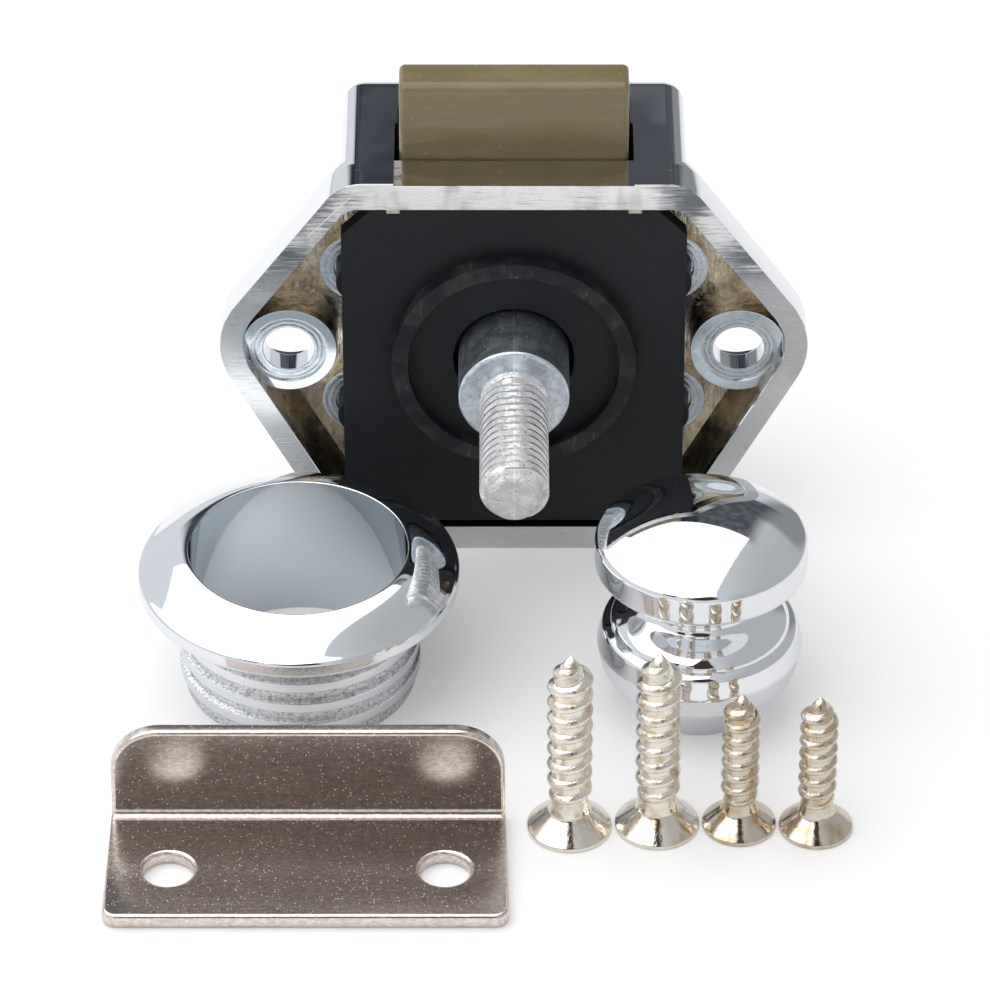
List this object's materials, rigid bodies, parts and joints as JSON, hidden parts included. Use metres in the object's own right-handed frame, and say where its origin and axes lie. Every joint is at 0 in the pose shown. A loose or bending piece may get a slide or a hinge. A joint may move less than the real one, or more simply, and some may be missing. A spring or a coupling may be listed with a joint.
{
  "type": "push button cabinet lock",
  "caption": "Push button cabinet lock: chrome case with sprung latch bolt and push rod, with rosette, knob, strike plate and wood screws laid out in front.",
  "frame": {"origin": "midway between the two mounting holes, on the rod axis, in the plane of the case rim that lies on the door", "axes": "+X to the right across the case, +Y into the case away from the door, +Z towards the latch bolt"},
  "size_m": [0.0844, 0.0945, 0.062],
  "materials": {
    "housing_chrome": "polished die-cast zinc, ground front rim",
    "plate_black": "matte",
    "rod_zinc": "plain die-cast zinc",
    "slider_zinc": "plain die-cast zinc",
    "spring_steel": "bright drawn wire",
    "lever_steel": "stamped steel",
    "bolt_nylon": "glossy olive-brown nylon",
    "rosette_chrome": "mirror chrome",
    "knob_chrome": "mirror chrome",
    "strike_nickel": "satin nickel on pressed steel",
    "screw_nickel": "bright nickel"
  },
  "bodies": {
    "case": {"housing": "housing_chrome", "front_plate": "plate_black", "bolt_spring_left": "spring_steel", "bolt_spring_right": "spring_steel", "rosette": "rosette_chrome", "knob": "knob_chrome", "strike_plate": "strike_nickel", "lock_screws": "screw_nickel", "strike_screws": "screw_nickel"},
    "slider": {"cam_slider": "slider_zinc", "rod_spring": "spring_steel"},
    "rod": {"push_rod": "rod_zinc"},
    "lever": {"tracking_lever": "lever_steel"},
    "bolt": {"latch_bolt": "bolt_nylon"}
  },
  "joints": [
    {"name": "cam_slide", "type": "slide", "parent": "case", "child": "slider", "axis": [0, -1, 0], "range_m": [0, 0.0046]},
    {"name": "bolt_slide", "type": "slide", "parent": "case", "child": "bolt", "axis": [0, 0, -1], "range_m": [0, 0.0092], "stiffness_N_per_m": 450, "springref_m": -0.004, "deforming": ["bolt_spring_left", "bolt_spring_right"]},
    {"name": "rod_push", "type": "slide", "parent": "slider", "child": "rod", "axis": [0, 1, 0], "range_m": [0, 0.007], "stiffness_N_per_m": 300, "springref_m": -0.004, "deforming": ["rod_spring"]},
    {"name": "lever_swing", "type": "hinge", "parent": "slider", "child": "lever", "pos_m": [0, 0.01875, 0.0075], "axis": [0, 0, 1], "range_deg": [-27.5, 0]}
  ],
  "couplings": [
    {"joint": "bolt_slide", "follows": "cam_slide", "ratio": 2}
  ]
}
